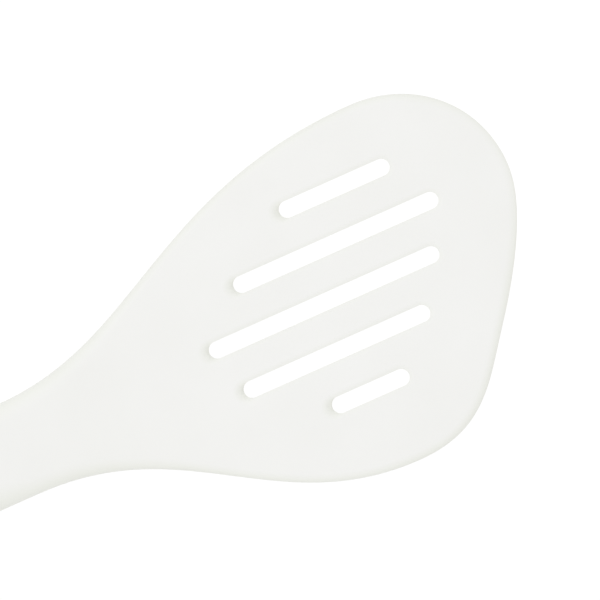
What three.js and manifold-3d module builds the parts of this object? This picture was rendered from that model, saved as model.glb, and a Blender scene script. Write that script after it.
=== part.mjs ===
// Kitchen turner: an overmoulded, slotted silicone head on a moulded handle with a soft grip.
// X runs along the handle towards the blade, Y across it and Z up. Millimetres.

import * as THREE from 'three';
import { mergeVertices } from 'three/addons/utils/BufferGeometryUtils.js';
import Module from 'manifold-3d';

const { degToRad, lerp, smoothstep } = THREE.MathUtils;

// Overall sizes
const headLength = 165; // seam to the leading corner, along the unbent blade
const handleLength = 155; // seam to the tail
const fitGap = 0.3; // clearance between pieces that seat in each other or meet at a seam

// Neck, where head and handle meet
const neckHalfWidth = 12.8;
const neckHalfHeight = 8;
const neckEdgeDepth = 8; // how far in from the side its rounding reaches
const neckStraight = 19; // length ahead of the seam before the flanks open
const flankEdgeDepth = 4.3; // of the flanks where they open, which stand upright between their rounds
const flankStart = 24;

// Blade outline, seen from above
const lowerHalfWidth = 45.1; // widest point of the lower edge
const lowerSetback = 52; // that point, behind the leading corner
const upperHalfWidth = 46.7;
const upperSetback = 31;
const cornerOffset = 16; // leading corner, off the handle's axis
const frontSetback = 18.5; // middle of the slanted front edge, behind the leading corner
const frontOffset = -22; // and off the handle's axis
const frontSlant = 37.3; // of the front edge there, in degrees from square

// Blade thickness
const bladeHalfHeight = 2.2;
const bladeEdgeDepth = 2.4;
const lipHalfHeight = 1.2; // thinnest, at the leading corner
const lipLength = 19;
const thinningStart = 6; // where the neck starts to thin
const thinningLength = 66;

// Rise of the blade from the handle's line
const bendStart = 15;
const bendLength = 40;
const bendAngle = 12;

// Slots, from the lower edge to the upper one
const slotWidth = 4.5;
const lowerSlotMargin = 21.6; // from the outermost slots' middle lines to the blade's widest points
const upperSlotMargin = 18.2;
const slotEdgeRound = 1.2;
const slotRearRound = 2.8; // longer ramp at the end towards the handle
const slots = [
  { length: 21.7, frontMargin: 26.2 },
  { length: 52.7, frontMargin: 23.7 },
  { length: 65.2, frontMargin: 22.4 },
  { length: 58, frontMargin: 20.3 },
  { length: 31.1, frontMargin: 25.9 },
];

// Stiffening core inside the head
const neckSkin = 2.6; // silicone over the core at the neck
const bladeSkin = 1.1; // silicone over the core in the blade
const sideMargin = 6.5; // solid silicone along the blade's sides
const lipMargin = 14; // flexible silicone ahead of the core
const slotLining = 2.2; // silicone between a slot and the core

// Spigot of the core in the handle
const spigotWidth = 16;
const spigotHeight = 8;
const spigotLength = 48;
const spigotEdgeDepth = 1.5;
const pinRadius = 2;
const pinChamfer = 0.4;
const pinEdge = 7; // from a pin's centre to the collar and to the spigot's end

// Handle
const collarLength = 9;
const sleeveThickness = 2.2;
const waistHalfWidth = 12;
const waistSetback = 25; // behind the seam
const gripHalfWidth = 14.5;
const gripTop = 10;
const gripSetback = 60; // widest point, ahead of the tail
const tailTop = 5.5;
const tailEdgeDepth = 6;

// End cap
const capLength = 38;
const tailFullness = 0.8; // how square the tail's rounding is
const tenonWidth = 15;
const tenonHeight = 8;
const tenonLength = 12;
const capPinRadius = 1.75;
const capPinRecess = 0.6;
const hangHoleLength = 12;
const hangHoleWidth = 8;
const hangHoleSetback = 15; // its centre, ahead of the tail
const hangHoleRound = 1.2;

// Steps of the curved faces
const headSteps = 42;
const handleSteps = 12;
const capSteps = 12;
const edgeSteps = 5; // in a quarter of a rounded edge
const coreEdgeSteps = 2;
const crossSteps = 4;
const slotEndSteps = 6;
const filletSteps = 2;
const pinSides = 20;
const frontSamples = 60; // chords looked at along each curve of the front edge
const overshoot = 2; // how far a cutter runs past the faces it cuts

const wasm = await Module();
wasm.setup();

// Solids and cuts

function toSolid(geometry) {
  const bare = geometry.clone();
  bare.deleteAttribute('normal');
  bare.deleteAttribute('uv');
  const merged = mergeVertices(bare, 1e-5);
  const mesh = new wasm.Mesh({
    numProp: 3,
    vertProperties: new Float32Array(merged.attributes.position.array),
    triVerts: new Uint32Array(merged.index.array),
  });
  return new wasm.Manifold(mesh);
}

function toGeometry(solid) {
  const mesh = solid.getMesh();
  const geometry = new THREE.BufferGeometry();
  geometry.setAttribute('position', new THREE.BufferAttribute(mesh.vertProperties, mesh.numProp));
  geometry.setIndex(new THREE.BufferAttribute(mesh.triVerts, 1));
  return geometry;
}

function cut(solid, cutters) {
  return cutters.reduce((rest, cutter) => rest.subtract(cutter), solid);
}

// Rings of points joined into one closed skin. Each ring runs clockwise, looked at against the
// direction of travel. A ring that has drawn together to a line or a point closes by itself.
function loft(rings) {
  const size = rings[0].length;
  const points = rings.flat();
  const triangles = [];
  const addTriangle = (a, b, c) => {
    const corners = [points[a], points[b], points[c]];
    const flat = corners.some((corner, i) => corner.distanceTo(corners[(i + 1) % 3]) < 1e-4);
    if (!flat) triangles.push(a, b, c);
  };
  for (let k = 0; k < rings.length - 1; k++) {
    for (let i = 0; i < size; i++) {
      const here = k * size + i;
      const beside = k * size + (i + 1) % size;
      addTriangle(here, here + size, beside);
      addTriangle(beside, here + size, beside + size);
    }
  }
  const closeEnd = (ring, first, backwards) => {
    const middle = new THREE.Vector3();
    ring.forEach((point) => middle.addScaledVector(point, 1 / size));
    const hub = points.push(middle) - 1;
    for (let i = 0; i < size; i++) {
      const a = first + i;
      const b = first + (i + 1) % size;
      if (backwards) addTriangle(hub, b, a);
      else addTriangle(hub, a, b);
    }
  };
  const isOpen = (ring) => ring[0].distanceTo(ring[size - 1]) > 1e-4;
  const last = rings[rings.length - 1];
  if (isOpen(rings[0])) closeEnd(rings[0], 0, false);
  if (isOpen(last)) closeEnd(last, (rings.length - 1) * size, true);
  const geometry = new THREE.BufferGeometry().setFromPoints(points);
  geometry.setIndex(triangles);
  return geometry;
}

// One ring across a flat-topped bar or plate: up round its lower edge, across the top, down round
// the upper edge and back underneath. The form gives the inset of the edges, the depth of their
// rounding and the levels of the top and the underside, each at a distance along X. The rounding takes
// the whole height of the side, unless the form gives it a height of its own.
function crossRing(lower, upper, form) {
  const ring = [];
  const edgePoint = (side, angle) => {
    const x = side.point.x;
    const depth = form.inset(x) + form.edgeDepth(x) * (1 - Math.cos(angle));
    const at = side.point.clone().addScaledVector(side.inward, depth);
    const height = angle < 0 ? -form.underside(at.x) : form.top(at.x);
    const rounding = Math.min(form.edgeHeight?.(x) ?? height, height);
    const wall = Math.sign(angle) * (height - rounding);
    return new THREE.Vector3(at.x, at.y, wall + rounding * Math.sin(angle));
  };
  const addEdge = (side, turn) => {
    for (let i = -form.edgeSteps; i <= form.edgeSteps; i++) {
      ring.push(edgePoint(side, turn * (i / form.edgeSteps) * Math.PI / 2));
    }
  };
  const addCrossing = (from, to, level) => {
    for (let i = 1; i < crossSteps; i++) {
      const point = from.clone().lerp(to, i / crossSteps);
      point.z = level(point.x);
      ring.push(point);
    }
  };
  addEdge(lower, 1);
  addCrossing(edgePoint(lower, Math.PI / 2), edgePoint(upper, Math.PI / 2), form.top);
  addEdge(upper, -1);
  addCrossing(edgePoint(upper, -Math.PI / 2), edgePoint(lower, -Math.PI / 2), form.underside);
  return ring;
}

// A plate between two edge curves that run the same way and may meet at either end
function plate(lowerEdge, upperEdge, steps, form) {
  const rings = [];
  for (let k = 0; k <= steps; k++) {
    const lowerTangent = lowerEdge.getTangent(k / steps);
    const upperTangent = upperEdge.getTangent(k / steps);
    const lower = {
      point: lowerEdge.getPoint(k / steps),
      inward: new THREE.Vector2(-lowerTangent.y, lowerTangent.x),
    };
    const upper = {
      point: upperEdge.getPoint(k / steps),
      inward: new THREE.Vector2(upperTangent.y, -upperTangent.x),
    };
    rings.push(crossRing(lower, upper, form));
  }
  return loft(rings);
}

// A bar along X between two stations
function bar(rear, front, steps, halfWidth, form) {
  const rings = [];
  for (let k = 0; k <= steps; k++) {
    const x = lerp(rear, front, k / steps);
    const lower = { point: new THREE.Vector2(x, -halfWidth(x)), inward: new THREE.Vector2(0, 1) };
    const upper = { point: new THREE.Vector2(x, halfWidth(x)), inward: new THREE.Vector2(0, -1) };
    rings.push(crossRing(lower, upper, form));
  }
  return loft(rings);
}

// A plain bar with rounded edges, for a spigot, a tenon or the socket that takes it
function roundedBar(rear, front, width, height, grow) {
  return bar(rear, front, 1, () => width / 2 + grow, {
    inset: () => 0,
    edgeDepth: () => spigotEdgeDepth,
    top: () => height / 2 + grow,
    underside: () => -height / 2 - grow,
    edgeSteps: coreEdgeSteps,
  });
}

// One ring of a round-ended slot along X, clockwise from above. Its rear end may grow further.
function slotRing(slot, grow, level, rearGrow = grow) {
  const ring = [];
  const radius = slot.width / 2;
  const addEnd = (centreX, startAngle) => {
    for (let i = 0; i <= slotEndSteps; i++) {
      const angle = startAngle - Math.PI * i / slotEndSteps;
      const x = centreX + (radius + grow) * Math.cos(angle);
      const y = slot.y + (radius + grow) * Math.sin(angle);
      ring.push(new THREE.Vector3(x, y, level(x)));
    }
  };
  addEnd(slot.front - radius, Math.PI / 2);
  addEnd(slot.rear + radius + grow - rearGrow, -Math.PI / 2);
  return ring;
}

function slotPrism(slot, grow, underside, top) {
  const below = slotRing(slot, grow, (x) => underside(x) - overshoot);
  const above = slotRing(slot, grow, (x) => top(x) + overshoot);
  return loft([below, above]);
}

// A slot cutter that flares at both faces, so that it leaves rounded edges
function flaredSlot(slot, edgeRound, rearRound, underside, top) {
  const rings = [slotRing(slot, edgeRound, (x) => underside(x) - overshoot, rearRound)];
  const addFlare = (i, level, outward) => {
    const angle = Math.PI / 2 * i / filletSteps;
    const spread = 1 - Math.cos(angle);
    const sink = edgeRound * (1 - Math.sin(angle));
    rings.push(slotRing(slot, edgeRound * spread, (x) => level(x) - outward * sink, rearRound * spread));
  };
  for (let i = filletSteps; i >= 0; i--) addFlare(i, underside, -1);
  for (let i = 0; i <= filletSteps; i++) addFlare(i, top, 1);
  rings.push(slotRing(slot, edgeRound, (x) => top(x) + overshoot, rearRound));
  return loft(rings);
}

// A dowel pin along Y, centred
function pin(radius, length) {
  const half = length / 2;
  const profile = [
    new THREE.Vector2(0, -half),
    new THREE.Vector2(radius - pinChamfer, -half),
    new THREE.Vector2(radius, -half + pinChamfer),
    new THREE.Vector2(radius, half - pinChamfer),
    new THREE.Vector2(radius - pinChamfer, half),
    new THREE.Vector2(0, half),
  ];
  return new THREE.LatheGeometry(profile, pinSides);
}

function bore(radius, length) {
  return new THREE.CylinderGeometry(radius + fitGap, radius + fitGap, length, pinSides);
}

// Head

function easedCurve(start, leaving, leavePull, end, arriving, arrivePull) {
  const reach = start.distanceTo(end);
  const leave = start.clone().addScaledVector(leaving, leavePull * reach);
  const arrive = end.clone().addScaledVector(arriving, -arrivePull * reach);
  return new THREE.CubicBezierCurve(start, leave, arrive, end);
}

function joinCurves(curves) {
  const path = new THREE.CurvePath();
  curves.forEach((curve) => path.add(curve));
  return path;
}

const forward = new THREE.Vector2(1, 0);
const towardsUpper = new THREE.Vector2(0, 1);
const towardsLower = new THREE.Vector2(0, -1);
const slant = degToRad(frontSlant);
const alongFront = new THREE.Vector2(Math.sin(slant), Math.cos(slant));

const lowerNeck = new THREE.Vector2(neckStraight, -neckHalfWidth);
const upperNeck = new THREE.Vector2(neckStraight, neckHalfWidth);
const lowerBelly = new THREE.Vector2(headLength - lowerSetback, -lowerHalfWidth);
const upperShoulder = new THREE.Vector2(headLength - upperSetback, upperHalfWidth);
const frontMiddle = new THREE.Vector2(headLength - frontSetback, frontOffset);
const leadingCorner = new THREE.Vector2(headLength, cornerOffset);

const lowerFront = [
  easedCurve(lowerBelly, forward, 0.465, frontMiddle, alongFront, 0.366),
  easedCurve(frontMiddle, alongFront, 0.322, leadingCorner, towardsUpper, 0.268),
];
const upperFront = easedCurve(upperShoulder, forward, 0.361, leadingCorner, towardsLower, 0.438);
const lowerEdge = joinCurves([
  new THREE.LineCurve(new THREE.Vector2(0, -neckHalfWidth), lowerNeck),
  easedCurve(lowerNeck, forward, 0.42, lowerBelly, forward, 0.41),
  ...lowerFront,
]);
const upperEdge = joinCurves([
  new THREE.LineCurve(new THREE.Vector2(0, neckHalfWidth), upperNeck),
  easedCurve(upperNeck, forward, 0.33, upperShoulder, forward, 0.475),
  upperFront,
]);

const thinning = (x) => smoothstep(x, thinningStart, thinningStart + thinningLength);
const lipEase = (x) => smoothstep(x, headLength - lipLength, headLength);
const headHalfHeight = (x) => {
  const body = lerp(neckHalfHeight, bladeHalfHeight, thinning(x));
  return lerp(body, lipHalfHeight, lipEase(x));
};
const headEdgeDepth = (x) => {
  const flank = lerp(neckEdgeDepth, flankEdgeDepth, smoothstep(x, 0, flankStart));
  return lerp(flank, bladeEdgeDepth, smoothstep(x, flankStart, thinningStart + thinningLength));
};

const headForm = {
  inset: () => 0,
  edgeDepth: headEdgeDepth,
  edgeHeight: headEdgeDepth,
  top: headHalfHeight,
  underside: (x) => -headHalfHeight(x),
  edgeSteps,
};

// The core follows the outline at a distance. Its own rounding is a full half circle in the blade.
function coreForm(gap) {
  const inset = (x) => {
    const side = lerp(neckSkin, sideMargin, thinning(x));
    return lerp(side, lipMargin, smoothstep(x, headLength - lowerSetback, headLength)) + gap;
  };
  const halfHeight = (x) => {
    const neck = neckHalfHeight - neckSkin;
    const blade = bladeHalfHeight - bladeSkin;
    return lerp(neck, blade, thinning(x)) - gap;
  };
  const edgeDepth = (x) => {
    const neck = neckEdgeDepth - neckSkin;
    const blade = bladeHalfHeight - bladeSkin;
    return lerp(neck, blade, thinning(x)) - gap;
  };
  const underside = (x) => -halfHeight(x);
  return { inset, edgeDepth, top: halfHeight, underside, edgeSteps: coreEdgeSteps };
}

function bendUp(geometry) {
  const place = geometry.attributes.position;
  const radius = bendLength / degToRad(bendAngle);
  for (let i = 0; i < place.count; i++) {
    const past = place.getX(i) - bendStart;
    const along = THREE.MathUtils.clamp(past, 0, bendLength);
    const beyond = past - along;
    const turn = along / radius;
    const reach = radius - place.getZ(i);
    place.setX(i, bendStart + reach * Math.sin(turn) + beyond * Math.cos(turn));
    place.setZ(i, radius - reach * Math.cos(turn) + beyond * Math.sin(turn));
  }
  return geometry;
}

// Distance along X of the front edge at a given Y, looked for from the lower side to the upper one
function frontEdgeAt(y) {
  const points = lowerFront.flatMap((curve) => curve.getPoints(frontSamples));
  points.push(...upperFront.getPoints(frontSamples).reverse());
  const next = points.findIndex((point, i) => i > 0 && (point.y - y) * (points[i - 1].y - y) <= 0);
  const before = points[next - 1];
  const after = points[next];
  return lerp(before.x, after.x, (y - before.y) / (after.y - before.y));
}

const lowestSlot = lowerSlotMargin - lowerHalfWidth;
const highestSlot = upperHalfWidth - upperSlotMargin;
const placedSlots = slots.map((slot, i) => {
  const y = lerp(lowestSlot, highestSlot, i / (slots.length - 1));
  const front = frontEdgeAt(y) - slot.frontMargin;
  return { y, front, rear: front - slot.length, width: slotWidth };
});

function slotsThroughCore(gap) {
  const grow = slotLining + gap;
  return placedSlots.map((slot) => {
    return toSolid(bendUp(slotPrism(slot, grow, headForm.underside, headForm.top)));
  });
}

function coreBlade(gap, lengthen) {
  const solid = toSolid(bendUp(plate(lowerEdge, upperEdge, headSteps, coreForm(gap))));
  const opened = cut(solid, slotsThroughCore(gap));
  return lengthen > 0 ? opened.add(seamPlug(gap, lengthen)) : opened;
}

// The core's neck section, carried past the seam face so that the cut there is clean
function seamPlug(gap, lengthen) {
  const form = coreForm(gap);
  return toSolid(bar(-lengthen, lengthen, 1, () => neckHalfWidth, {
    inset: () => form.inset(0),
    edgeDepth: () => form.edgeDepth(0),
    top: () => form.top(0),
    underside: () => form.underside(0),
    edgeSteps: coreEdgeSteps,
  }));
}

function makeHeadSkin() {
  const outside = toSolid(bendUp(plate(lowerEdge, upperEdge, headSteps, headForm)));
  const openings = placedSlots.map((slot) => {
    const opening = flaredSlot(slot, slotEdgeRound, slotRearRound, headForm.underside, headForm.top);
    return toSolid(bendUp(opening));
  });
  return cut(outside, [coreBlade(0, overshoot), ...openings]);
}

// Pins, counted back from the seam
const frontPinX = -(collarLength + pinEdge);
const rearPinX = -(spigotLength - pinEdge);
const handlePinLength = 2 * (neckHalfHeight - sleeveThickness - fitGap);

function handlePinBore(x) {
  const geometry = bore(pinRadius, handlePinLength + 2 * gripTop);
  return toSolid(geometry.rotateX(Math.PI / 2).translate(x, 0, 0));
}

function makeHeadCore() {
  const spigot = toSolid(roundedBar(-spigotLength, overshoot, spigotWidth, spigotHeight, 0));
  const bores = [handlePinBore(frontPinX), handlePinBore(rearPinX)];
  return cut(coreBlade(fitGap, 0).add(spigot), bores);
}

function makeHandlePin(x) {
  return pin(pinRadius, handlePinLength).rotateX(Math.PI / 2).translate(x, 0, 0);
}

// Handle

const gripX = -(handleLength - gripSetback);
const capFront = -(handleLength - capLength);
const handleHalfWidth = (x) => {
  const waist = lerp(neckHalfWidth, waistHalfWidth, smoothstep(-x, 0, waistSetback));
  return lerp(waist, gripHalfWidth, smoothstep(-x, waistSetback, -gripX));
};
const handleTop = (x) => {
  const grip = lerp(neckHalfHeight, gripTop, smoothstep(-x, 0, -gripX));
  return lerp(grip, tailTop, smoothstep(-x, -capFront, handleLength));
};
const handleEdgeDepth = (x) => {
  return lerp(neckEdgeDepth, tailEdgeDepth, smoothstep(-x, -capFront, handleLength));
};

// The handle's outside, drawn in all round by a thickness
function handleForm(inset) {
  return {
    inset: () => inset,
    edgeDepth: (x) => handleEdgeDepth(x) - inset,
    top: (x) => handleTop(x) - inset,
    underside: () => -neckHalfHeight + inset,
    edgeSteps,
  };
}

const collarRear = -(fitGap + collarLength);
const sleeveFront = collarRear - fitGap;
const coreRear = capFront + fitGap;
const coreInset = sleeveThickness + fitGap;

function makeHandleCore() {
  const collar = toSolid(bar(collarRear, -fitGap, 2, handleHalfWidth, handleForm(0)));
  const bodyFront = collarRear + overshoot;
  const body = toSolid(bar(coreRear, bodyFront, handleSteps, handleHalfWidth, handleForm(coreInset)));
  const tenonRear = coreRear - tenonLength;
  const tenon = toSolid(roundedBar(tenonRear, coreRear + overshoot, tenonWidth, tenonHeight, 0));
  const socketEnd = -(spigotLength + fitGap);
  const socket = toSolid(roundedBar(socketEnd, overshoot, spigotWidth, spigotHeight, fitGap));
  const bores = [handlePinBore(frontPinX), handlePinBore(rearPinX)];
  return cut(collar.add(body).add(tenon), [socket, ...bores, capPinBore()]);
}

function makeGripSleeve() {
  const outside = bar(coreRear, sleeveFront, handleSteps, handleHalfWidth, handleForm(0));
  const hollow = handleForm(sleeveThickness);
  const rear = coreRear - overshoot;
  const front = sleeveFront + overshoot;
  const inside = bar(rear, front, handleSteps, handleHalfWidth, hollow);
  return toSolid(outside).subtract(toSolid(inside));
}

// End cap

const capPinX = coreRear - tenonLength / 2;

function capPinBore() {
  return toSolid(bore(capPinRadius, 2 * gripHalfWidth + 2 * overshoot).translate(capPinX, 0, 0));
}

function makeCapPin() {
  return pin(capPinRadius, 2 * (gripHalfWidth - capPinRecess)).translate(capPinX, 0, 0);
}

// One side of the cap, from the middle of the tail forward to the seam with the sleeve
function capEdge(side) {
  const tail = new THREE.Vector2(-handleLength, 0);
  const seam = new THREE.Vector2(capFront, side * handleHalfWidth(capFront));
  const tailCorner = new THREE.Vector2(-handleLength, seam.y * tailFullness);
  const shoulder = new THREE.Vector2(lerp(capFront, -handleLength, tailFullness), seam.y);
  return joinCurves([new THREE.CubicBezierCurve(tail, tailCorner, shoulder, seam)]);
}

function makeEndCap() {
  const outside = toSolid(plate(capEdge(-1), capEdge(1), capSteps, handleForm(0)));
  const socketEnd = coreRear - tenonLength - fitGap;
  const socket = toSolid(roundedBar(socketEnd, capFront + overshoot, tenonWidth, tenonHeight, fitGap));
  const centre = -(handleLength - hangHoleSetback);
  const hole = {
    y: 0,
    front: centre + hangHoleLength / 2,
    rear: centre - hangHoleLength / 2,
    width: hangHoleWidth,
  };
  const underside = handleForm(0).underside;
  const hangHole = toSolid(flaredSlot(hole, hangHoleRound, hangHoleRound, underside, handleTop));
  return cut(outside, [socket, hangHole, capPinBore()]);
}

// Materials

function finish(color, roughness, metalness) {
  return new THREE.MeshStandardMaterial({ color, roughness, metalness });
}

const silicone = () => finish(0xf2f2f0, 0.55, 0);
const nylon = () => finish(0xf0f0ec, 0.4, 0);
const filledNylon = () => finish(0xd9d8d2, 0.6, 0);
const steel = () => finish(0xb9bcc0, 0.3, 1);

// Assembly

const turner = new THREE.Group();

function addPiece(name, geometry, material) {
  const mesh = new THREE.Mesh(geometry, material);
  mesh.name = name;
  turner.add(mesh);
}

addPiece('head_skin', toGeometry(makeHeadSkin()), silicone());
addPiece('head_core', toGeometry(makeHeadCore()), filledNylon());
addPiece('front_pin', makeHandlePin(frontPinX), steel());
addPiece('rear_pin', makeHandlePin(rearPinX), steel());
addPiece('handle_core', toGeometry(makeHandleCore()), nylon());
addPiece('grip_sleeve', toGeometry(makeGripSleeve()), silicone());
addPiece('end_cap', toGeometry(makeEndCap()), nylon());
addPiece('cap_pin', makeCapPin(), steel());

// The origin is under the middle of the whole turner, on the surface that the handle lies on
const box = new THREE.Box3().setFromObject(turner);
const middle = box.getCenter(new THREE.Vector3());
turner.position.set(-middle.x, -middle.y, -box.min.z);

export default turner;
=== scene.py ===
import math

import bmesh
import bpy
from mathutils import Matrix, Vector
from mathutils.geometry import interpolate_bezier


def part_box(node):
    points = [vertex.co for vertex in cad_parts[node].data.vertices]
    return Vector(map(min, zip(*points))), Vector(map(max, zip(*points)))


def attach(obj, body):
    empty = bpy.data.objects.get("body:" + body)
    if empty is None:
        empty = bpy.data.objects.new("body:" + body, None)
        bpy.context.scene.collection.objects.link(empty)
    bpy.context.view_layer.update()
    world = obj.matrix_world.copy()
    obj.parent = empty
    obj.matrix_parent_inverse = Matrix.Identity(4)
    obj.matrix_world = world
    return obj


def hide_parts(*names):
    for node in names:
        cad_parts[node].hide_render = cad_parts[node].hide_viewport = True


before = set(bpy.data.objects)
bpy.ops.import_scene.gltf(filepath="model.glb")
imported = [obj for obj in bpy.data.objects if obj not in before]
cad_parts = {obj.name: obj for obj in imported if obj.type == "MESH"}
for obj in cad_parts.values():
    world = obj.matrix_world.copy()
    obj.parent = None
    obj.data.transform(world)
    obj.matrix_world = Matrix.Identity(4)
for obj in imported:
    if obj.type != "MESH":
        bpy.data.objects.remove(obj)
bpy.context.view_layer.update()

scene = bpy.context.scene
scene.view_settings.view_transform = "Standard"

# The drawing's zero: the seam of head and handle, on the handle's axis, halfway up the neck
axisHeight = 0.008
sleeveLow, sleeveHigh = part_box("grip_sleeve")
zero = Vector((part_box("head_skin")[0].x, (sleeveLow.y + sleeveHigh.y) / 2, axisHeight))
fitGap = 0.0003         # between pieces that seat in each other or meet at a seam
weldGap = 1e-5          # points nearer than this are one point
triangleGap = 1e-6      # the same on a CAD mesh, which is loose triangles


def lerp(a, b, t):
    return a + (b - a) * t


def smoothStep(x, start, end):
    t = min(max((x - start) / (end - start), 0), 1)
    return t * t * (3 - 2 * t)


def deselectAll():
    bpy.ops.object.select_all(action="DESELECT")


def makeActive(piece):
    deselectAll()
    piece.select_set(True)
    bpy.context.view_layer.objects.active = piece


def editMode():
    bpy.ops.object.mode_set(mode="EDIT")
    bpy.ops.mesh.select_mode(type="VERT")


def objectMode():
    bpy.ops.object.mode_set(mode="OBJECT")


def selectOpenEdges():
    bpy.ops.mesh.select_all(action="DESELECT")
    bpy.ops.mesh.select_non_manifold(extend=False, use_wire=False, use_boundary=True)


def turnOutwards():
    bpy.ops.mesh.select_all(action="SELECT")
    bpy.ops.mesh.normals_make_consistent(inside=False)


def selectVerts(piece, test):
    cage = bmesh.from_edit_mesh(piece.data)
    for vert in cage.verts:
        vert.select = test(vert)
    cage.select_flush_mode()
    bmesh.update_edit_mesh(piece.data)


def applyModifier(piece, kind, **settings):
    makeActive(piece)
    modifier = piece.modifiers.new(kind.lower(), kind)
    for name, value in settings.items():
        setattr(modifier, name, value)
    bpy.ops.object.modifier_apply(modifier=modifier.name)


def cutAway(piece, cutter):
    applyModifier(piece, "BOOLEAN", operation="DIFFERENCE", object=cutter, solver="EXACT")
    bpy.data.objects.remove(cutter)


def joinPieces(pieces):
    makeActive(pieces[0])
    for piece in pieces[1:]:
        piece.select_set(True)
    bpy.ops.object.join()
    return pieces[0]


def finishPiece(piece, node, sharpAngle):
    # the broad flats keep their own normals, so the small rounds shade into them
    makeActive(piece)
    bpy.ops.object.shade_smooth_by_angle(angle=math.radians(sharpAngle))
    applyModifier(piece, "WEIGHTED_NORMAL", mode="FACE_AREA", keep_sharp=True)
    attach(piece, "root")
    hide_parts(node)
    print(piece.name, "made:", len(piece.data.polygons), "faces")
    return piece


# Sections: a ring with two rounded rims and two flats, extruded from station to station.
# A station is (lower, upper), and a side gives the rim's place, turn, radius and heights.
lowerSide, upperSide, middle = 1, 2, 3
section = {
    "supportDepth": 1.2,      # the point that holds a flat next to its rim, in rims from the outline
    "levelGap": 1e-4,         # a point this near to a level is on it
}


def side(x, y, turn, rim, top, under):
    return {"at": Vector((x, y)), "turn": turn, "rim": rim, "top": top, "under": under}


def middleOf(lower, upper):
    depth = section["supportDepth"]
    lowerInward = Vector((-math.sin(lower["turn"]), math.cos(lower["turn"])))
    upperInward = Vector((math.sin(upper["turn"]), -math.cos(upper["turn"])))
    inLower = lower["at"] + depth * lower["rim"] * lowerInward
    inUpper = upper["at"] + depth * upper["rim"] * upperInward
    top = (lower["top"] + upper["top"]) / 2
    under = (lower["under"] + upper["under"]) / 2
    return {"at": (inLower + inUpper) / 2, "turn": 0, "rim": 1, "top": top, "under": under}


def startSection(name, sides):
    deselectAll()
    flat = math.tan(math.pi / sides)
    radius = math.hypot(1, flat)      # so that the flats lie at a height of 1
    bpy.ops.mesh.primitive_circle_add(vertices=sides, radius=radius, rotation=(0, math.pi / 2, 0))
    piece = bpy.context.object
    piece.name = piece.data.name = name
    bpy.ops.object.transform_apply(location=True, rotation=True, scale=True)
    editMode()
    bpy.ops.mesh.select_all(action="SELECT")
    bpy.ops.transform.rotate(value=math.pi / sides, orient_axis="X", center_override=(0, 0, 0))
    selectVerts(piece, lambda vert: abs(vert.co.z) > 1 - section["levelGap"])
    bpy.ops.mesh.subdivide(number_cuts=3)      # a point beside each rim, and the middle
    cage = bmesh.from_edit_mesh(piece.data)
    sideMark = cage.verts.layers.int.new("side")
    for vert in cage.verts:
        centred = abs(vert.co.y) < flat / 100
        vert[sideMark] = middle if centred else upperSide if vert.co.y > 0 else lowerSide
    bmesh.update_edit_mesh(piece.data)
    # the point beside each rim moves in, to hold the flat next to it
    for sign in (-1, 1):
        selectVerts(piece, lambda vert: 0.25 * flat < sign * vert.co.y < 0.75 * flat)
        inward = section["supportDepth"] - 1 + flat / 2
        bpy.ops.transform.translate(value=(0, -sign * inward, 0))
    return piece


def shapeRing(piece, ring, old, new):
    for mark in (lowerSide, upperSide, middle):
        before, after = old[mark], new[mark]
        topChange, underChange = after["top"] / before["top"], after["under"] / before["under"]
        halves = ((1, topChange), (-1, underChange)) if topChange != underChange else ((0, topChange),)
        for sign, height in halves:
            cage = bmesh.from_edit_mesh(piece.data)
            sideMark = cage.verts.layers.int["side"]
            for vert in cage.verts:
                wanted = vert.index in ring and vert[sideMark] == mark
                vert.select = wanted and sign * (vert.co.z - old["z"]) >= 0
            cage.select_flush_mode()
            pivot = (*before["at"], old["z"])
            rim = after["rim"] / before["rim"]
            bpy.ops.transform.resize(value=(rim, rim, height), center_override=pivot)
            turn = after["turn"] - before["turn"]
            if turn:
                bpy.ops.transform.rotate(value=-turn, orient_axis="Z", center_override=pivot)
            shift = after["at"] - before["at"]
            bpy.ops.transform.translate(value=(shift.x, shift.y, new["z"] - old["z"]))


def newestRing(piece):
    cage = bmesh.from_edit_mesh(piece.data)
    cage.verts.ensure_lookup_table()
    cage.verts.index_update()
    return [vert.index for vert in cage.verts if vert.select]


def loftSections(name, sides, stations):
    piece = startSection(name, sides)
    unit = {"rim": 1, "turn": 0, "top": 1, "under": 1}
    old = {
        lowerSide: {"at": Vector((0, -1)), **unit},
        upperSide: {"at": Vector((0, 1)), **unit},
        middle: {"at": Vector((0, 0)), **unit},
        "z": 0,
    }
    for step, (lower, upper) in enumerate(stations):
        bpy.ops.mesh.select_all(action="SELECT")
        if step:
            cage = bmesh.from_edit_mesh(piece.data)
            for vert in cage.verts:
                vert.select = vert.index in ring
            cage.select_flush_mode()
            bpy.ops.mesh.extrude_region_move()
        ring = set(newestRing(piece))
        new = {lowerSide: lower, upperSide: upper, middle: middleOf(lower, upper), "z": zero.z}
        for mark in (lowerSide, upperSide, middle):
            new[mark] = {**new[mark], "at": new[mark]["at"] + zero.xy}
        shapeRing(piece, ring, old, new)
        old = new
    objectMode()
    piece.data.attributes.remove(piece.data.attributes["side"])
    return piece


def setHeights(piece, topAt, underAt, rimAt=None):
    # a loft of height 1 gets its thickness from the place along the tool; where the rims are
    # lower than that, the side between them stands upright
    for vert in piece.data.vertices:
        x, rise = vert.co.x - zero.x, vert.co.z - zero.z
        height = topAt(x) if rise > 0 else underAt(x)
        rim = min(rimAt(x), height) if rimAt else height
        wall = math.copysign(height - rim, rise) if abs(rise) > section["levelGap"] else 0
        vert.co.z = zero.z + wall + rise * rim


def closeEnds(piece):
    makeActive(piece)
    editMode()
    selectOpenEdges()
    bpy.ops.mesh.edge_face_add()
    turnOutwards()
    objectMode()


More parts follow.
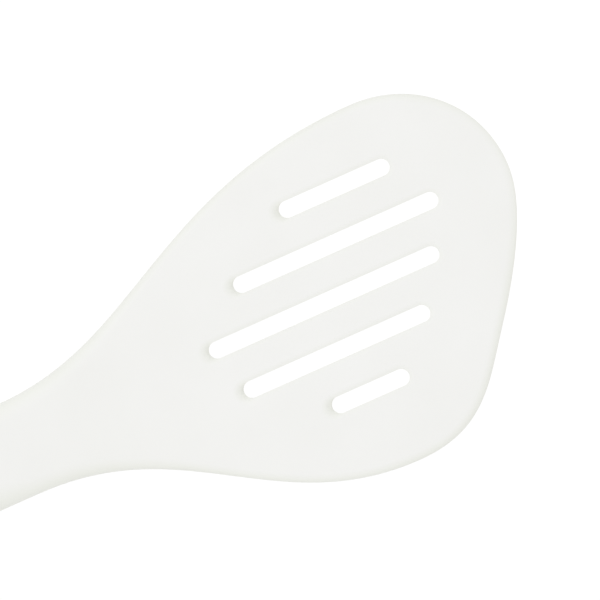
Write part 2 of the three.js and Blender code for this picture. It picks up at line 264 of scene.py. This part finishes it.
def weld(piece):
    makeActive(piece)
    editMode()
    bpy.ops.mesh.select_all(action="SELECT")
    bpy.ops.mesh.remove_doubles(threshold=weldGap)
    turnOutwards()
    objectMode()


# Head skin
head = {
    "neckHalfWidth": 0.0128,
    "neckStraight": 0.019,
    "neckHalfHeight": axisHeight,
    "neckRim": 0.008,
    "seamRound": 0.0005,
    "flankRim": 0.0043,
    "flankStart": 0.024,
    "bladeHalfHeight": 0.0022,
    "bladeRim": 0.0024,
    "lipHalfHeight": 0.0012,
    "lipLength": 0.019,
    "thinning": (0.006, 0.072),
    "belly": (0.113, -0.0451),
    "shoulder": (0.134, 0.0467),
    "frontMiddle": (0.1465, -0.022),
    "frontSlant": 37.3,
    "leadingCorner": (0.165, 0.016),
    "bendStart": 0.015,
    "bendLength": 0.040,
    "bendAngle": 12,
    "lowerFlankPulls": (0.42, 0.41),      # how far each curve keeps its direction at its two ends
    "bellyPulls": (0.465, 0.366),
    "frontPulls": (0.322, 0.268),
    "upperFlankPulls": (0.33, 0.475),
    "shoulderPulls": (0.361, 0.438),
    "paintedRimShadeTilt": (4, 45),                  # degrees off the face, where the painted rim shade starts and is full
    "sharpAngle": 25,
    "curvePoints": 240,
    "stations": 56,
    "ringSides": 24,
    "seamSteps": 4,
    "smoothLevels": 2,
}


def easedCurve(start, leaving, end, arriving, pulls):
    start, end = Vector(start), Vector(end)
    reach = (end - start).length
    leave = start + Vector(leaving) * pulls[0] * reach
    arrive = end - Vector(arriving) * pulls[1] * reach
    return [Vector(p[:2]) for p in interpolate_bezier(start, leave, arrive, end, head["curvePoints"])]


def spaceAlong(path, count):
    reach = [0]
    for a, b in zip(path, path[1:]):
        reach.append(reach[-1] + (b - a).length)
    spaced = []
    j = 0
    for k in range(count + 1):
        target = reach[-1] * k / count
        while j < len(path) - 2 and reach[j + 1] < target:
            j += 1
        span = reach[j + 1] - reach[j]
        t = (target - reach[j]) / span if span else 0
        along = path[j + 1] - path[j]
        spaced.append((path[j].lerp(path[j + 1], t), math.atan2(along.y, along.x)))
    return spaced


def headOutline():
    neck, half = head["neckStraight"], head["neckHalfWidth"]
    belly, shoulder = head["belly"], head["shoulder"]
    frontMiddle, corner = head["frontMiddle"], head["leadingCorner"]
    slant = math.radians(head["frontSlant"])
    front = (math.sin(slant), math.cos(slant))
    ahead, across, back = (1, 0), (0, 1), (0, -1)
    lower = [Vector((0, -half))]
    lower += easedCurve((neck, -half), ahead, belly, ahead, head["lowerFlankPulls"])
    lower += easedCurve(belly, ahead, frontMiddle, front, head["bellyPulls"])[1:]
    lower += easedCurve(frontMiddle, front, corner, across, head["frontPulls"])[1:]
    upper = [Vector((0, half))]
    upper += easedCurve((neck, half), ahead, shoulder, ahead, head["upperFlankPulls"])
    upper += easedCurve(shoulder, ahead, corner, back, head["shoulderPulls"])[1:]
    return lower, upper


def headHalfHeight(x):
    body = lerp(head["neckHalfHeight"], head["bladeHalfHeight"], smoothStep(x, *head["thinning"]))
    length = head["leadingCorner"][0]
    return lerp(body, head["lipHalfHeight"], smoothStep(x, length - head["lipLength"], length))


def headRim(x):
    flank = lerp(head["neckRim"], head["flankRim"], smoothStep(x, 0, head["flankStart"]))
    return lerp(flank, head["bladeRim"], smoothStep(x, head["flankStart"], head["thinning"][1]))


def headSide(point, turn):
    return side(point.x, point.y, turn, headRim(point.x), 1, 1)


def headStations():
    lowerPath, upperPath = headOutline()
    lower = spaceAlong(lowerPath, head["stations"])
    upper = spaceAlong(upperPath, head["stations"])
    # both edges meet head on at the leading corner
    lower[-1] = (lower[-1][0], math.pi / 2)
    upper[-1] = (upper[-1][0], -math.pi / 2)
    return [(headSide(*a), headSide(*b)) for a, b in zip(lower, upper)]


slots = {
    "width": 0.0045,
    "edge": {"reach": 0.0016, "depth": 0.0004},       # how the faces ease over into a slot
    "rearEdge": {"reach": 0.0032, "depth": 0.0019},
    "draft": 0.00015,                                 # wider underneath by this on each side
    "first": -0.0235,                                 # middle line of the lowest
    "pitch": 0.013,
    "ends": (                                         # rear and front
        (0.09752, 0.11921),
        (0.07816, 0.13087),
        (0.07404, 0.13924),
        (0.08675, 0.14473),
        (0.10552, 0.13665),
    ),
    "proud": 0.00002,                                 # of the faces, so that the cut is clean
    "overcut": 0.004,
    "ringSides": 40,
    "flareSteps": 8,
}


def flareLevels(edge, top, under):
    # (level, spread) of the rings from below the underside to above the top
    steps = slots["flareSteps"]
    flare = []
    for i in range(steps + 1):
        out = i / steps
        flare.append((edge["depth"] * (1 - out) ** 2, edge["reach"] * out))
    draft, overcut = slots["draft"], slots["overcut"]
    levels = [(under - overcut, edge["reach"] + draft)]
    levels += [(under + sink, spread + draft) for sink, spread in reversed(flare)]
    levels += [(top - sink, spread) for sink, spread in flare]
    return levels + [(top + overcut, edge["reach"])]


def slotCutter(name, rear, front, y, width, edge, rearEdge, top, under, topAt=None):
    radius, sides = width / 2, slots["ringSides"]
    deselectAll()
    frontCentre = Vector((front - radius, y, 0)) + zero
    rearCentre = Vector((rear + radius, y, 0)) + zero
    bpy.ops.mesh.primitive_circle_add(vertices=sides, radius=radius, location=frontCentre)
    cutter = bpy.context.object
    cutter.name = name
    bpy.ops.object.transform_apply(location=True, rotation=True, scale=True)
    editMode()
    bpy.ops.mesh.select_all(action="SELECT")
    bpy.ops.transform.rotate(value=math.pi / sides, orient_axis="Z", center_override=frontCentre)
    selectVerts(cutter, lambda vert: vert.co.x < frontCentre.x)
    bpy.ops.transform.translate(value=rearCentre - frontCentre)
    middleX = (frontCentre.x + rearCentre.x) / 2

    def frontPart(vert):
        return vert.co.x > middleX

    def rearPart(vert):
        return vert.co.x < middleX

    sideRings, rearRings = flareLevels(edge, top, under), flareLevels(rearEdge, top, under)
    grown = rearGrown = 0
    ring = {vert.index for vert in bmesh.from_edit_mesh(cutter.data).verts}
    for step, ((level, spread), (rearLevel, rearSpread)) in enumerate(zip(sideRings, rearRings)):
        if step:
            selectVerts(cutter, lambda vert: vert.index in ring)
            bpy.ops.mesh.extrude_region_move()
            ring = set(newestRing(cutter))
        swell = (radius + spread) / (radius + grown)
        rearPivot = rearCentre - Vector((rearGrown - grown, 0, 0))
        back = rearSpread - spread - rearGrown + grown
        for part, pivot, shift in ((frontPart, frontCentre, 0), (rearPart, rearPivot, -back)):
            selectVerts(cutter, lambda vert: vert.index in ring and part(vert))
            bpy.ops.transform.resize(value=(swell, swell, 1), center_override=pivot)
            bpy.ops.transform.translate(value=(shift, 0, 0))
        # the rear end goes deepest at its tip, and comes up to the sides' level round the end;
        # the upper rings follow a top that isn't level
        follow = topAt and level > (top + under) / 2
        cage = bmesh.from_edit_mesh(cutter.data)
        for vert in cage.verts:
            if vert.index in ring:
                off = (vert.co.y - frontCentre.y) / (radius + spread)
                tip = 1 - off * off if rearPart(vert) else 0
                slope = topAt(vert.co.x - zero.x) - topAt(middleX - zero.x) if follow else 0
                vert.co.z = zero.z + lerp(level, rearLevel, tip) + slope
        bmesh.update_edit_mesh(cutter.data)
        grown, rearGrown = spread, rearSpread
    objectMode()
    closeEnds(cutter)
    return cutter


def bladeCutters():
    half = head["bladeHalfHeight"] + slots["proud"]
    cutters = []
    for k, (rear, front) in enumerate(slots["ends"]):
        y = slots["first"] + k * slots["pitch"]
        cutters.append(slotCutter(
            "slotCutter", rear, front, y, slots["width"], slots["edge"], slots["rearEdge"],
            half, -half))
    return joinPieces(cutters)


def bendHead(piece):
    pivot = bpy.data.objects.new("bendPivot", None)
    scene.collection.objects.link(pivot)
    pivot.location = zero + Vector((head["bendStart"], 0, 0))
    pivot.rotation_euler = (math.pi / 2, 0, 0)      # bends about its own Z, from X towards Y
    bpy.context.view_layer.update()
    low = min(vert.co.x for vert in piece.data.vertices)
    high = max(vert.co.x for vert in piece.data.vertices)
    begin = (pivot.location.x - low) / (high - low)
    end = (pivot.location.x + head["bendLength"] - low) / (high - low)
    applyModifier(piece, "SIMPLE_DEFORM", deform_method="BEND", origin=pivot, deform_axis="Z",
                  angle=math.radians(head["bendAngle"]), limits=(begin, end))
    bpy.data.objects.remove(pivot)


def coreCavity():
    # the hollow that the core fills, a fit larger than the core
    source = bpy.data.objects["head_core"]
    cavity = source.copy()
    cavity.data = source.data.copy()
    cavity.name = "coreCavity"
    cavity.hide_viewport = cavity.hide_render = False
    scene.collection.objects.link(cavity)
    cavity.parent = None
    makeActive(cavity)
    editMode()
    bpy.ops.mesh.select_all(action="SELECT")
    bpy.ops.mesh.remove_doubles(threshold=triangleGap)
    bpy.ops.transform.shrink_fatten(value=fitGap)
    objectMode()
    return cavity


def softenSeam(piece):
    # a small round on the rear edge, where the skin comes up to the collar
    makeActive(piece)
    editMode()
    selectVerts(piece, lambda vert: vert.co.x < zero.x + weldGap)
    bpy.ops.mesh.bevel(offset=head["seamRound"], segments=head["seamSteps"], affect="EDGES")
    objectMode()


def markPaintedRimShade(piece):
    # painted shade mask: 0 on the faces, up to 1 where the surface turns over into a rim or a slot and
    # falls into shade
    edge = piece.data.attributes.new("edge", "FLOAT", "POINT")
    start, full = head["paintedRimShadeTilt"]
    for vert in piece.data.vertices:
        along = (vert.co.x - zero.x - head["bendStart"]) / head["bendLength"]
        lean = math.radians(head["bendAngle"] * min(max(along, 0), 1))
        facing = abs(math.cos(lean) * vert.normal.z - math.sin(lean) * vert.normal.x)
        tilt = math.degrees(math.acos(min(facing, 1)))
        edge.data[vert.index].value = min(max((tilt - start) / (full - start), 0), 1)


def makeHeadSkin():
    skin = loftSections("headSkin", head["ringSides"], headStations())
    weld(skin)
    levels = head["smoothLevels"]
    applyModifier(skin, "SUBSURF", levels=levels, render_levels=levels)
    setHeights(skin, headHalfHeight, headHalfHeight, headRim)
    closeEnds(skin)
    softenSeam(skin)
    print("head skin lofted:", len(skin.data.polygons), "faces")
    cutAway(skin, bladeCutters())
    print("slots cut:", len(skin.data.polygons), "faces")
    bendHead(skin)
    cutAway(skin, coreCavity())
    print("core cavity cut:", len(skin.data.polygons), "faces")
    markPaintedRimShade(skin)
    return finishPiece(skin, "head_skin", head["sharpAngle"])


headSkin = makeHeadSkin()


# Handle: the collar, core, grip sleeve and end cap share one outside
handle = {
    "length": 0.155,
    "collarLength": 0.009,
    "capLength": 0.038,
    "tenonLength": 0.012,
    "waistHalfWidth": 0.012,
    "waistSetback": 0.025,
    "gripHalfWidth": 0.0145,
    "gripSetback": 0.060,      # widest point, ahead of the tail
    "gripTop": 0.010,
    "tailTop": 0.0055,
    "rim": 0.008,
    "tailRim": 0.006,
    "sharpAngle": 35,
    "ringSides": 48,
}
# places back from the seam
tail = -handle["length"]
gripX = tail + handle["gripSetback"]
capFront = tail + handle["capLength"]
collarRear = -fitGap - handle["collarLength"]
coreRear = capFront + fitGap
tenonEnd = coreRear - handle["tenonLength"]
capPinX = (coreRear + tenonEnd) / 2


def handleHalfWidth(x):
    setback = handle["waistSetback"]
    waist = lerp(head["neckHalfWidth"], handle["waistHalfWidth"], smoothStep(-x, 0, setback))
    return lerp(waist, handle["gripHalfWidth"], smoothStep(-x, setback, -gripX))


def tailShare(x):
    return smoothStep(-x, -capFront, -tail)


def handleTop(x):
    grip = lerp(head["neckHalfHeight"], handle["gripTop"], smoothStep(-x, 0, -gripX))
    return lerp(grip, handle["tailTop"], tailShare(x))


def handleRim(x):
    return lerp(handle["rim"], handle["tailRim"], tailShare(x))


def handleStation(x, inset):
    width, rim = handleHalfWidth(x) - inset, handleRim(x) - inset
    top, under = handleTop(x) - inset, axisHeight - inset
    return side(x, -width, 0, rim, top, under), side(x, width, 0, rim, top, under)


def barStation(x, width, height, rim):
    return (side(x, -width / 2, 0, rim, height / 2, height / 2),
            side(x, width / 2, 0, rim, height / 2, height / 2))


def evenSteps(start, end, count):
    return [lerp(start, end, k / count) for k in range(count + 1)]


def roundedEnd(end, inward, radius, steps=4):
    # (x, inset) down the rounded edge of an end face, from the face outwards
    places = []
    for k in range(steps + 1):
        angle = math.pi / 2 * k / steps
        places.append((end + inward * radius * (1 - math.cos(angle)), radius * (1 - math.sin(angle))))
    return places


def addRod(x, radius, length, rotation, sides):
    deselectAll()
    bpy.ops.mesh.primitive_cylinder_add(vertices=sides, radius=radius, depth=length, rotation=rotation,
                                        location=zero + Vector((x, 0, 0)))
    rod = bpy.context.object
    bpy.ops.object.transform_apply(location=True, rotation=True, scale=True)
    return rod


def cutBore(piece, x, pinRadius, rotation):
    cutAway(piece, addRod(x, pinRadius + fitGap, core["boreLength"], rotation, core["boreSides"]))


def cutSocket(piece, bar, barEnd, mouth):
    width, height = [size + 2 * fitGap for size in bar]
    ends = (barEnd - fitGap, mouth + core["socketOverrun"])
    stations = [barStation(x, width, height, core["barRim"]) for x in ends]
    cutter = loftSections("socketCutter", handle["ringSides"], stations)
    closeEnds(cutter)
    cutAway(piece, cutter)


core = {
    "collarRound": 0.0005,
    "spigot": (0.016, 0.008),      # of the head's core, in the socket
    "spigotLength": 0.048,
    "tenon": (0.015, 0.008),
    "barRim": 0.0015,
    "dowelRadius": 0.002,
    "dowelEdge": 0.007,            # from a dowel's middle to the collar and to the spigot's end
    "boreLength": 0.04,
    "boreSides": 32,
    "socketOverrun": 0.002,
    "collarSteps": 4,
    "steps": 14,
}
upright, crosswise = (0, 0, 0), (math.pi / 2, 0, 0)


def makeHandleCore():
    front, rear, corner = -fitGap, collarRear, core["collarRound"]
    recess = sleeve["thickness"] + fitGap
    places = roundedEnd(front, -1, corner)
    places += [(x, 0) for x in evenSteps(front - corner, rear + corner, core["collarSteps"])[1:-1]]
    places += reversed(roundedEnd(rear, 1, corner))
    places += [(x, recess) for x in evenSteps(rear, coreRear, core["steps"])]
    stations = [handleStation(*place) for place in places]
    stations += [barStation(x, *core["tenon"], core["barRim"]) for x in (coreRear, tenonEnd)]
    piece = loftSections("handleCore", handle["ringSides"], stations)
    weld(piece)
    closeEnds(piece)
    cutSocket(piece, core["spigot"], -core["spigotLength"], 0)
    for setback in (handle["collarLength"] + core["dowelEdge"], core["spigotLength"] - core["dowelEdge"]):
        cutBore(piece, -setback, core["dowelRadius"], upright)
    cutBore(piece, capPinX, pin["radius"], crosswise)
    return finishPiece(piece, "handle_core", handle["sharpAngle"])


sleeve = {
    "thickness": 0.0022,
    "endRound": 0.0008,
    "steps": 32,
}


def makeGripSleeve():
    front, rear, corner = collarRear - fitGap, coreRear, sleeve["endRound"]
    places = roundedEnd(front, -1, corner)
    places += [(x, 0) for x in evenSteps(front - corner, rear + corner, sleeve["steps"])[1:-1]]
    places += reversed(roundedEnd(rear, 1, corner))
    # and back along the inside
    places += [(x, sleeve["thickness"]) for x in evenSteps(rear, front, sleeve["steps"])]
    stations = [handleStation(*place) for place in places]
    piece = loftSections("gripSleeve", handle["ringSides"], stations)
    makeActive(piece)
    editMode()
    selectOpenEdges()
    bpy.ops.mesh.bridge_edge_loops()
    turnOutwards()
    objectMode()
    return finishPiece(piece, "grip_sleeve", handle["sharpAngle"])


cap = {
    "fullness": 0.8,
    "frontRound": 0.0005,
    "holeSetback": 0.015,      # its middle, ahead of the tail
    "holeLength": 0.012,
    "holeWidth": 0.008,
    "holeEdge": {"reach": 0.0012, "depth": 0.0012},
    "curvePoints": 400,
    "steps": 30,
}


def capOutline(sign):
    half = sign * handleHalfWidth(capFront)
    shoulder = lerp(capFront, tail, cap["fullness"])
    points = ((tail, 0), (tail, half * cap["fullness"]), (shoulder, half), (capFront, half))
    curve = interpolate_bezier(*[Vector(p) for p in points], cap["curvePoints"])
    spaced = spaceAlong([Vector(p[:2]) for p in curve], cap["steps"])
    spaced[0] = (spaced[0][0], sign * math.pi / 2)
    return spaced


def makeEndCap():
    stations = []
    for places in list(zip(capOutline(-1), capOutline(1)))[:-1]:
        stations.append([side(*point, turn, handleRim(point.x), 1, 1) for point, turn in places])
    # the rounded edge of the front face, in heights of 1
    for x, inset in reversed(roundedEnd(capFront, -1, cap["frontRound"])):
        width, rim = handleHalfWidth(x) - inset, handleRim(x) - inset
        top, under = 1 - inset / handleTop(x), 1 - inset / axisHeight
        stations.append((side(x, -width, 0, rim, top, under), side(x, width, 0, rim, top, under)))
    piece = loftSections("endCap", handle["ringSides"], stations)
    weld(piece)
    setHeights(piece, handleTop, lambda x: axisHeight)
    closeEnds(piece)
    cutSocket(piece, core["tenon"], tenonEnd, capFront)
    centre, half, edge = tail + cap["holeSetback"], cap["holeLength"] / 2, cap["holeEdge"]
    cutAway(piece, slotCutter(
        "holeCutter", centre - half, centre + half, 0, cap["holeWidth"], edge, edge,
        handleTop(centre) + slots["proud"], -axisHeight - slots["proud"], topAt=handleTop))
    cutBore(piece, capPinX, pin["radius"], crosswise)
    return finishPiece(piece, "end_cap", handle["sharpAngle"])


pin = {
    "radius": 0.00175,
    "recess": 0.0006,      # of its ends in the cap's sides
    "sides": 48,
    "chamfer": 0.0004,
    "chamferSteps": 4,
    "chamferAngle": 1,
    "sharpAngle": 40,
}


def makeCapPin():
    length = 2 * (handle["gripHalfWidth"] - pin["recess"])
    piece = addRod(capPinX, pin["radius"], length, crosswise, pin["sides"])
    piece.name = piece.data.name = "capPin"
    applyModifier(piece, "BEVEL", width=pin["chamfer"], segments=pin["chamferSteps"],
                  limit_method="ANGLE", angle_limit=pin["chamferAngle"])
    return finishPiece(piece, "cap_pin", pin["sharpAngle"])


handleCore = makeHandleCore()
gripSleeve = makeGripSleeve()
endCap = makeEndCap()
capPin = makeCapPin()

# Finishes
finishes = {
    "silicone": {
        "light": (0.893, 0.893, 0.876), "dark": (0.880, 0.880, 0.860), "rough": (0.50, 0.58),
        "grainScale": 2600, "mottleScale": 55, "bumpDepth": 0.00002, "bumpStrength": 0.25, "specular": 0.35,
        "paintedRimShadeTint": (0.996, 1.004, 0.972),      # painted shade: creamier on the rims and slot walls, for their shade and the light that goes through the edges
    },
    "gripSilicone": {
        "light": (0.885, 0.885, 0.866), "dark": (0.866, 0.866, 0.845), "rough": (0.60, 0.68),
        "grainScale": 1100, "mottleScale": 70, "bumpDepth": 0.00025, "bumpStrength": 0.9, "specular": 0.3,
    },
    "nylon": {
        "light": (0.874, 0.874, 0.849), "dark": (0.860, 0.860, 0.832), "rough": (0.34, 0.42),
        "grainScale": 3200, "mottleScale": 40, "bumpDepth": 0.00001, "bumpStrength": 0.2, "specular": 0.5,
    },
}


def makeMouldGrain():
    # fine mould texture and slow clouding, both from 0 to 1
    group = bpy.data.node_groups.new("mouldGrain", "ShaderNodeTree")
    for name, value in (("Grain Scale", 2500), ("Mottle Scale", 50)):
        socket = group.interface.new_socket(name, in_out="INPUT", socket_type="NodeSocketFloat")
        socket.default_value = value
    for name in ("Grain", "Mottle"):
        group.interface.new_socket(name, in_out="OUTPUT", socket_type="NodeSocketFloat")
    nodes, links = group.nodes, group.links
    inside = nodes.new("NodeGroupInput")
    outside = nodes.new("NodeGroupOutput")
    place = nodes.new("ShaderNodeTexCoord")
    for output, scale, detail in (("Grain", "Grain Scale", 2), ("Mottle", "Mottle Scale", 4)):
        noise = nodes.new("ShaderNodeTexNoise")
        noise.inputs["Detail"].default_value = detail
        links.new(place.outputs["Object"], noise.inputs["Vector"])
        links.new(inside.outputs[scale], noise.inputs["Scale"])
        links.new(noise.outputs["Fac"], outside.inputs[output])
    return group


mouldGrain = makeMouldGrain()


def newMaterial(name):
    material = bpy.data.materials.new(name)
    material.use_nodes = True
    nodes, links = material.node_tree.nodes, material.node_tree.links
    return material, nodes, links, nodes["Principled BSDF"]


noiseRange = (0.3, 0.7)      # most of a noise lies between these


def addRange(nodes, links, value, fromRange, toRange, ease="LINEAR"):
    remap = nodes.new("ShaderNodeMapRange")
    remap.interpolation_type = ease
    for name, number in zip(("From Min", "From Max", "To Min", "To Max"), fromRange + toRange):
        remap.inputs[name].default_value = number
    links.new(value, remap.inputs["Value"])
    return remap.outputs["Result"]


def addTint(nodes, links, value, first, second):
    tint = nodes.new("ShaderNodeMix")
    tint.data_type = "RGBA"
    tint.inputs["A"].default_value = (*first, 1)
    tint.inputs["B"].default_value = (*second, 1)
    links.new(addRange(nodes, links, value, noiseRange, (0, 1)), tint.inputs["Factor"])
    return tint.outputs["Result"]


# painted shade: the base colour turns yellower by the mask, where the rims and slot walls are in shade
def addPaintedRimShade(nodes, links, colour, tint):
    edge = nodes.new("ShaderNodeAttribute")
    edge.attribute_name = "edge"
    mix = nodes.new("ShaderNodeMix")
    mix.data_type = "RGBA"
    mix.blend_type = "MULTIPLY"
    mix.inputs["B"].default_value = (*tint, 1)
    links.new(edge.outputs["Fac"], mix.inputs["Factor"])
    links.new(colour, mix.inputs["A"])
    return mix.outputs["Result"]


def addBump(nodes, links, height, depth, strength):
    bump = nodes.new("ShaderNodeBump")
    bump.inputs["Strength"].default_value = strength
    bump.inputs["Distance"].default_value = depth
    links.new(height, bump.inputs["Height"])
    return bump.outputs["Normal"]


def mouldedMaterial(name):
    look = finishes[name]
    material, nodes, links, shader = newMaterial(name)
    grain = nodes.new("ShaderNodeGroup")
    grain.node_tree = mouldGrain
    grain.inputs["Grain Scale"].default_value = look["grainScale"]
    grain.inputs["Mottle Scale"].default_value = look["mottleScale"]
    mottle = grain.outputs["Mottle"]
    colour = addTint(nodes, links, mottle, look["light"], look["dark"])
    if "paintedRimShadeTint" in look:
        colour = addPaintedRimShade(nodes, links, colour, look["paintedRimShadeTint"])
    links.new(colour, shader.inputs["Base Color"])
    links.new(addRange(nodes, links, mottle, noiseRange, look["rough"]), shader.inputs["Roughness"])
    links.new(addBump(nodes, links, grain.outputs["Grain"], look["bumpDepth"], look["bumpStrength"]),
              shader.inputs["Normal"])
    shader.inputs["Specular IOR Level"].default_value = look["specular"]
    return material


streaks = {
    "filledNylon": {
        "light": (0.71, 0.70, 0.66), "dark": (0.66, 0.65, 0.61), "rough": (0.55, 0.7), "metallic": 0,
        "scale": (500, 4000, 4000), "detail": 3, "bumpDepth": 0.00003, "bumpStrength": 0.3,
    },
    "groundSteel": {
        "light": (0.62, 0.63, 0.64), "dark": (0.56, 0.57, 0.58), "rough": (0.24, 0.36), "metallic": 1,
        "scale": (9000, 300, 9000), "detail": 3, "bumpDepth": 0.000005, "bumpStrength": 0.3,
    },
}


def streakedMaterial(name):
    # streaks along one direction: glass fibres in the core, grinding marks on the pins
    look = streaks[name]
    material, nodes, links, shader = newMaterial(name)
    place = nodes.new("ShaderNodeTexCoord")
    stretch = nodes.new("ShaderNodeMapping")
    stretch.inputs["Scale"].default_value = look["scale"]
    noise = nodes.new("ShaderNodeTexNoise")
    noise.inputs["Scale"].default_value = 1
    noise.inputs["Detail"].default_value = look["detail"]
    streak = noise.outputs["Fac"]
    links.new(place.outputs["Object"], stretch.inputs["Vector"])
    links.new(stretch.outputs["Vector"], noise.inputs["Vector"])
    links.new(addTint(nodes, links, streak, look["light"], look["dark"]), shader.inputs["Base Color"])
    links.new(addRange(nodes, links, streak, noiseRange, look["rough"]), shader.inputs["Roughness"])
    links.new(addBump(nodes, links, streak, look["bumpDepth"], look["bumpStrength"]),
              shader.inputs["Normal"])
    shader.inputs["Metallic"].default_value = look["metallic"]
    return material


silicone = mouldedMaterial("silicone")
gripSilicone = mouldedMaterial("gripSilicone")
nylon = mouldedMaterial("nylon")
filledNylon = streakedMaterial("filledNylon")
groundSteel = streakedMaterial("groundSteel")


def coat(piece, material):
    piece.data.materials.clear()
    piece.data.materials.append(material)
    for face in piece.data.polygons:
        face.material_index = 0


for piece, material in ((headSkin, silicone), (gripSleeve, gripSilicone), (handleCore, nylon),
                        (endCap, nylon), (capPin, groundSteel)):
    coat(piece, material)
for node, material in (("head_core", filledNylon), ("front_pin", groundSteel), ("rear_pin", groundSteel)):
    for materialSlot in bpy.data.objects[node].material_slots:
        materialSlot.material = material
print("finishes on")

# Camera, lights and floor
view = {
    "roll": 24,
    "aim": (0.10117, 0.00561),
    "span": 0.156,
    "lens": 600,
    "sensor": 36,
    "nearest": 0.01,
}


def onBlade(x, y, z=0):
    # a place on the drawing, carried round the bend
    turn = math.radians(head["bendAngle"])
    radius = head["bendLength"] / turn
    beyond = x - head["bendStart"] - head["bendLength"]
    reach = radius - z
    return zero + Vector((
        head["bendStart"] + reach * math.sin(turn) + beyond * math.cos(turn), y,
        radius - reach * math.cos(turn) + beyond * math.sin(turn)))


# square on to the blade, which rises by the bend
rise, roll = math.radians(head["bendAngle"]), math.radians(view["roll"])
alongBlade = Vector((math.cos(rise), 0, math.sin(rise)))
acrossBlade = Vector((0, 1, 0))
offBlade = Vector((-math.sin(rise), 0, math.cos(rise)))
viewRight = math.cos(roll) * alongBlade - math.sin(roll) * acrossBlade
viewUp = math.sin(roll) * alongBlade + math.cos(roll) * acrossBlade
viewTurn = Matrix((viewRight, viewUp, offBlade)).transposed()
aim = onBlade(*view["aim"])

cameraData = bpy.data.cameras.new("camera")
cameraData.lens = view["lens"]
cameraData.sensor_width = view["sensor"]
cameraData.clip_start = view["nearest"]
camera = bpy.data.objects.new("camera", cameraData)
scene.collection.objects.link(camera)
distance = view["span"] * view["lens"] / view["sensor"]
camera.matrix_world = Matrix.Translation(aim + distance * offBlade) @ viewTurn.to_4x4()
scene.camera = camera
print("camera set")

lamps = {
    "sky": {"color": (1.0, 1.0, 0.988), "strength": 0.904},
    "key": {
        "color": (1.01, 1.01, 1.11), "energy": 1.57, "size": 0.9,
        "from": (-0.45, 0.25, 1.0), "distance": 1.1,
    },
}


def addLamp(name, spec):
    data = bpy.data.lights.new(name, "AREA")
    data.energy = spec["energy"]
    data.color = spec["color"]
    data.size = spec["size"]
    lamp = bpy.data.objects.new(name, data)
    scene.collection.objects.link(lamp)
    away = (viewTurn @ Vector(spec["from"])).normalized()
    lamp.location = aim + away * spec["distance"]
    lamp.rotation_euler = away.to_track_quat("Z", "Y").to_euler()


addLamp("keyLamp", lamps["key"])


def seenRays(nodes, links):
    # 1 where the camera, a gloss or a clear surface looks, 0 for the light that bounces
    rays = nodes.new("ShaderNodeLightPath")
    total = rays.outputs["Is Camera Ray"]
    for name in ("Is Glossy Ray", "Is Transmission Ray"):
        largest = nodes.new("ShaderNodeMath")
        largest.operation = "MAXIMUM"
        links.new(total, largest.inputs[0])
        links.new(rays.outputs[name], largest.inputs[1])
        total = largest.outputs[0]
    return total


def makeWorld():
    world = bpy.data.worlds.new("studio")
    scene.world = world
    world.use_nodes = True
    nodes, links = world.node_tree.nodes, world.node_tree.links
    nodes.clear()
    light = nodes.new("ShaderNodeBackground")
    light.inputs["Color"].default_value = (*lamps["sky"]["color"], 1)
    light.inputs["Strength"].default_value = lamps["sky"]["strength"]
    white = nodes.new("ShaderNodeBackground")
    white.inputs["Color"].default_value = (1, 1, 1, 1)
    white.inputs["Strength"].default_value = 1
    mix = nodes.new("ShaderNodeMixShader")
    out = nodes.new("ShaderNodeOutputWorld")
    links.new(seenRays(nodes, links), mix.inputs[0])
    links.new(light.outputs[0], mix.inputs[1])
    links.new(white.outputs[0], mix.inputs[2])
    links.new(mix.outputs[0], out.inputs["Surface"])


makeWorld()
print("lights on")

floorLook = {
    "size": 4,
    "level": -0.0003,
    "bounce": 0.9,
    "glow": 1.04,
    "shadowShare": (0.85, 0.05),      # round the handle, and under the raised blade
    "shadowMiddle": -0.09,
    "shadowReach": (0.097, 0.09),
    "shadowFade": (0.7, 1.0),         # in reaches from the middle
}


def makeFloor():
    deselectAll()
    bpy.ops.mesh.primitive_plane_add(size=floorLook["size"], location=(0, 0, floorLook["level"]))
    floor = bpy.context.object
    floor.name = "floor"
    bpy.ops.object.transform_apply(location=True, rotation=True, scale=True)
    paper = bpy.data.materials.new("whitePaper")
    paper.use_nodes = True
    nodes, links = paper.node_tree.nodes, paper.node_tree.links
    nodes.clear()
    bounce = nodes.new("ShaderNodeBsdfDiffuse")
    bounce.inputs["Color"].default_value = (floorLook["bounce"],) * 3 + (1,)
    glow = nodes.new("ShaderNodeEmission")
    glow.inputs["Strength"].default_value = floorLook["glow"]
    lit = nodes.new("ShaderNodeBsdfDiffuse")      # the share that shows the shadow
    lit.inputs["Color"].default_value = (1, 1, 1, 1)
    shaded = nodes.new("ShaderNodeMixShader")
    place = nodes.new("ShaderNodeTexCoord")
    patch = nodes.new("ShaderNodeMapping")
    along, across = floorLook["shadowReach"]
    patch.inputs["Scale"].default_value = (1 / along, 1 / across, 1)
    patch.inputs["Location"].default_value = (-floorLook["shadowMiddle"] / along, 0, 0)
    away = nodes.new("ShaderNodeVectorMath")
    away.operation = "LENGTH"
    share = addRange(nodes, links, away.outputs["Value"], floorLook["shadowFade"],
                     floorLook["shadowShare"], "SMOOTHSTEP")
    links.new(place.outputs["Object"], patch.inputs["Vector"])
    links.new(patch.outputs["Vector"], away.inputs[0])
    links.new(share, shaded.inputs[0])
    mix = nodes.new("ShaderNodeMixShader")
    out = nodes.new("ShaderNodeOutputMaterial")
    links.new(glow.outputs[0], shaded.inputs[1])
    links.new(lit.outputs[0], shaded.inputs[2])
    links.new(seenRays(nodes, links), mix.inputs[0])
    links.new(bounce.outputs[0], mix.inputs[1])
    links.new(shaded.outputs[0], mix.inputs[2])
    links.new(mix.outputs[0], out.inputs["Surface"])
    floor.data.materials.append(paper)


makeFloor()
print("floor laid")
